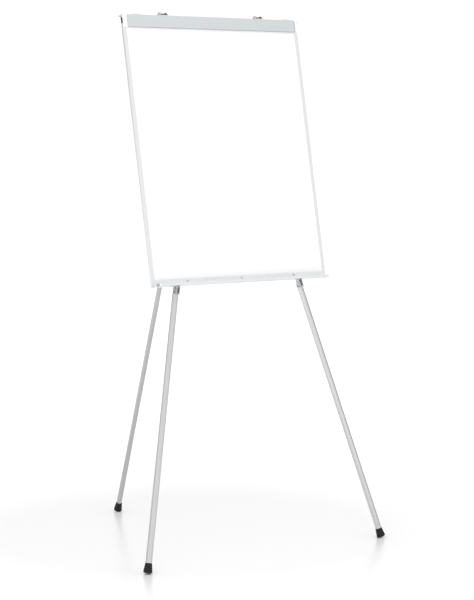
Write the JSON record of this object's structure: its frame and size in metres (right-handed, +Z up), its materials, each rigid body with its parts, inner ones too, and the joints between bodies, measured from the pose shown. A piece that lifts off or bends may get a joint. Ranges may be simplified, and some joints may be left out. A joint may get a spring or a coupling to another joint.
{
  "type": "flip chart easel",
  "caption": "Flip-chart easel with a framed dry-wipe board, a sprung paper clamp with sliding pad hooks, a pen ledge, and folding legs.",
  "frame": {"origin": "on the floor, at the middle of the footprint box of the three feet", "axes": "+Z up, the board's writing side faces -Y and leans back towards +Y, +X to the reader's right"},
  "size_m": [0.9672, 0.9344, 1.7464],
  "materials": {
    "back_sheet": "thin lacquered sheet",
    "black_plastic": "fine grained",
    "core_board": "fibre core",
    "grey_plastic": "fine grained",
    "anodised_aluminium": "satin anodised",
    "white_rail": "white powder coat",
    "black_rubber": "smooth moulded rubber",
    "zinc_steel": "zinc plated",
    "grey_rubber": "extruded strip",
    "tube_silver": "satin anodised tube",
    "enamel": "glossy white vitreous enamel on steel"
  },
  "bodies": {
    "board": {"writing_sheet": "enamel", "board_core": "core_board", "back_sheet": "back_sheet", "left_frame_profile": "anodised_aluminium", "right_frame_profile": "anodised_aluminium", "bottom_frame_profile": "anodised_aluminium", "top_rail": "white_rail", "rail_plugs": "black_plastic", "clamp_rod": "zinc_steel", "pen_ledge": "anodised_aluminium", "ledge_caps": "black_plastic", "ledge_screws": "zinc_steel", "left_leg_bracket": "zinc_steel", "right_leg_bracket": "zinc_steel", "bracket_screws": "zinc_steel", "left_leg_pin": "zinc_steel", "right_leg_pin": "zinc_steel", "rear_bracket": "zinc_steel", "rear_bracket_screws": "zinc_steel", "rear_leg_pin": "zinc_steel"},
    "clamp": {"clamp_bar": "anodised_aluminium", "clamp_grip": "grey_rubber", "left_clamp_arm": "zinc_steel", "right_clamp_arm": "zinc_steel", "left_clamp_spring": "zinc_steel", "right_clamp_spring": "zinc_steel"},
    "left_hook": {"left_hook_slide": "zinc_steel", "left_hook_grip": "black_plastic", "left_hook_peg": "zinc_steel"},
    "right_hook": {"right_hook_slide": "zinc_steel", "right_hook_grip": "black_plastic", "right_hook_peg": "zinc_steel"},
    "left_leg": {"left_leg_head": "black_plastic", "left_leg_tube": "tube_silver", "left_foot": "black_rubber"},
    "right_leg": {"right_leg_head": "black_plastic", "right_leg_tube": "tube_silver", "right_foot": "black_rubber"},
    "rear_leg_upper": {"rear_leg_head": "grey_plastic", "rear_upper_tube": "tube_silver", "lock_collar": "black_plastic", "lock_shoe": "grey_plastic"},
    "rear_leg_lower": {"rear_lower_tube": "tube_silver", "tube_guide": "black_plastic", "rear_foot": "black_rubber"},
    "lock": {"lock_screw": "black_plastic"}
  },
  "joints": [
    {"name": "clamp_swing", "type": "hinge", "parent": "board", "child": "clamp", "pos_m": [0, -0.13039, 1.72879], "axis": [-1, 0, 0], "range_deg": [0, 30], "stiffness_Nm_per_rad": 0.6, "springref_deg": -34.38},
    {"name": "left_hook_slide", "type": "slide", "parent": "board", "child": "left_hook", "axis": [1, 0, 0], "range_m": [-0.065, 0.12]},
    {"name": "right_hook_slide", "type": "slide", "parent": "board", "child": "right_hook", "axis": [1, 0, 0], "range_m": [-0.12, 0.065]},
    {"name": "left_leg_fold", "type": "hinge", "parent": "board", "child": "left_leg", "pos_m": [-0.247, -0.28395, 0.86109], "axis": [0.9688, -0.0481, -0.2431], "range_deg": [0, 178]},
    {"name": "right_leg_fold", "type": "hinge", "parent": "board", "child": "right_leg", "pos_m": [0.247, -0.28395, 0.86109], "axis": [0.9688, 0.0481, 0.2431], "range_deg": [0, 178]},
    {"name": "rear_leg_fold", "type": "hinge", "parent": "board", "child": "rear_leg_upper", "pos_m": [0, -0.11522, 1.69724], "axis": [-1, 0, 0], "range_deg": [0, 29]},
    {"name": "rear_leg_extend", "type": "slide", "parent": "rear_leg_upper", "child": "rear_leg_lower", "axis": [0, -0.319, 0.9478], "range_m": [0, 0.702]},
    {"name": "lock_turn", "type": "hinge", "parent": "rear_leg_upper", "child": "lock", "pos_m": [0, 0.16323, 0.86984], "axis": [0, 0.9478, 0.319], "range_deg": [0, 180]}
  ]
}
